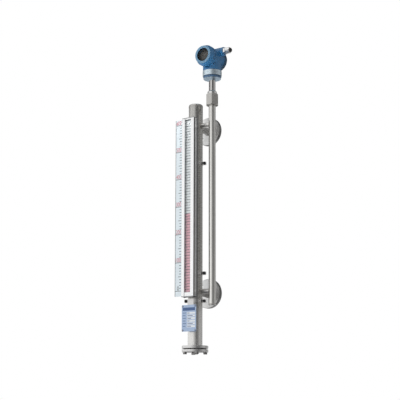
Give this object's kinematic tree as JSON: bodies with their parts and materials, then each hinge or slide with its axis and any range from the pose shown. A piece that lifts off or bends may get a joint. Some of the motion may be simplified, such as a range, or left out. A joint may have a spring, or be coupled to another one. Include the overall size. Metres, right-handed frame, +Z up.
{
  "type": "magnetic level transmitter",
  "caption": "Side-mounted magnetic level gauge: flanged float chamber, flap column beside a scale, and a sensor tube carrying a round transmitter head with display and cable gland.",
  "frame": {"origin": "centre of the lower process flange's bolting face", "axes": "+Z up along the float chamber, +Y out of the process flanges towards the vessel, -Y the side of the flaps and the display, +X towards the transmitter's sensor tube"},
  "size_m": [0.2049, 0.1541, 1.1027],
  "materials": {
    "chamber_steel": "satin",
    "flange_steel": "satin",
    "gasket_fibre": "matte",
    "bolt_steel": "satin",
    "float_steel": "satin",
    "magnet_ferrite": "matte",
    "channel_aluminium": "satin",
    "window_clear": "polished",
    "flaps_red": "matte",
    "flaps_white": "matte",
    "scale_sheet": "satin",
    "band_steel": "satin",
    "screw_steel": "satin",
    "nameplate_sheet": "satin",
    "sensor_steel": "satin",
    "union_steel": "satin",
    "circuit_board": "satin",
    "base_steel": "satin",
    "band_bright": "satin",
    "head_paint": "satin",
    "lock_screw_black": "satin",
    "cover_paint": "satin",
    "seal_rubber": "matte",
    "window_glass": "polished",
    "retaining_ring_metal": "satin",
    "display_plastic": "matte",
    "terminal_plastic": "matte",
    "gland_metal": "satin",
    "plug_black": "matte",
    "blanking_metal": "satin"
  },
  "bodies": {
    "gauge": {"chamber_tube": "chamber_steel", "chamber_top_cap": "chamber_steel", "lower_nozzle": "chamber_steel", "upper_nozzle": "chamber_steel", "lower_process_flange": "flange_steel", "upper_process_flange": "flange_steel", "drain_flange_ring": "flange_steel", "drain_gasket": "gasket_fibre", "drain_blind_flange": "flange_steel", "drain_bolts": "bolt_steel", "drain_plug": "bolt_steel", "indicator_channel": "channel_aluminium", "indicator_bottom_cap": "channel_aluminium", "indicator_top_cap": "channel_aluminium", "indicator_window": "window_clear", "red_flap_rack": "flaps_red", "white_flap_rack": "flaps_white", "scale_plate": "scale_sheet", "upper_clamp_band": "band_steel", "lower_clamp_band": "band_steel", "nameplate_clamp_front": "band_steel", "nameplate_clamp_rear": "band_steel", "clamp_screws": "screw_steel", "nameplate_bracket": "band_steel", "nameplate": "nameplate_sheet", "sensor_tube": "sensor_steel", "sensor_tube_end_plug": "sensor_steel", "lower_standoff": "sensor_steel", "upper_standoff": "sensor_steel", "reed_chain_board": "circuit_board", "union_nut": "union_steel", "union_tail_ring": "union_steel", "union_body": "union_steel", "stem_pipe": "union_steel", "head_base": "base_steel"},
    "float": {"float_shell": "float_steel", "float_magnet": "magnet_ferrite"},
    "transmitter_head": {"neck_band": "band_bright", "head_housing": "head_paint", "housing_lock_screw": "lock_screw_black", "display_module": "display_plastic", "electronics_board": "circuit_board", "terminal_block": "terminal_plastic", "gland_body": "gland_metal", "gland_nut": "gland_metal", "gland_plug": "plug_black", "blanking_plug": "blanking_metal"},
    "display_cover": {"display_cover": "cover_paint", "display_cover_seal": "seal_rubber", "glass_gasket": "seal_rubber", "display_glass": "window_glass", "glass_retaining_ring": "retaining_ring_metal"},
    "terminal_cover": {"terminal_cover": "cover_paint", "terminal_cover_seal": "seal_rubber"}
  },
  "joints": [
    {"name": "float_travel", "type": "slide", "parent": "gauge", "child": "float", "axis": [0, 0, 1], "range_m": [0, 0.7595]},
    {"name": "head_swivel", "type": "hinge", "parent": "gauge", "child": "transmitter_head", "pos_m": [0.0723, -0.091, 0.7777], "axis": [0, 0, 1], "range_deg": [-175, 175]},
    {"name": "display_cover_turn", "type": "hinge", "parent": "transmitter_head", "child": "display_cover", "pos_m": [0.0723, -0.091, 0.8461], "axis": [0, 1, 0], "continuous": true},
    {"name": "terminal_cover_turn", "type": "hinge", "parent": "transmitter_head", "child": "terminal_cover", "pos_m": [0.0723, -0.091, 0.8461], "axis": [0, 1, 0], "continuous": true}
  ]
}
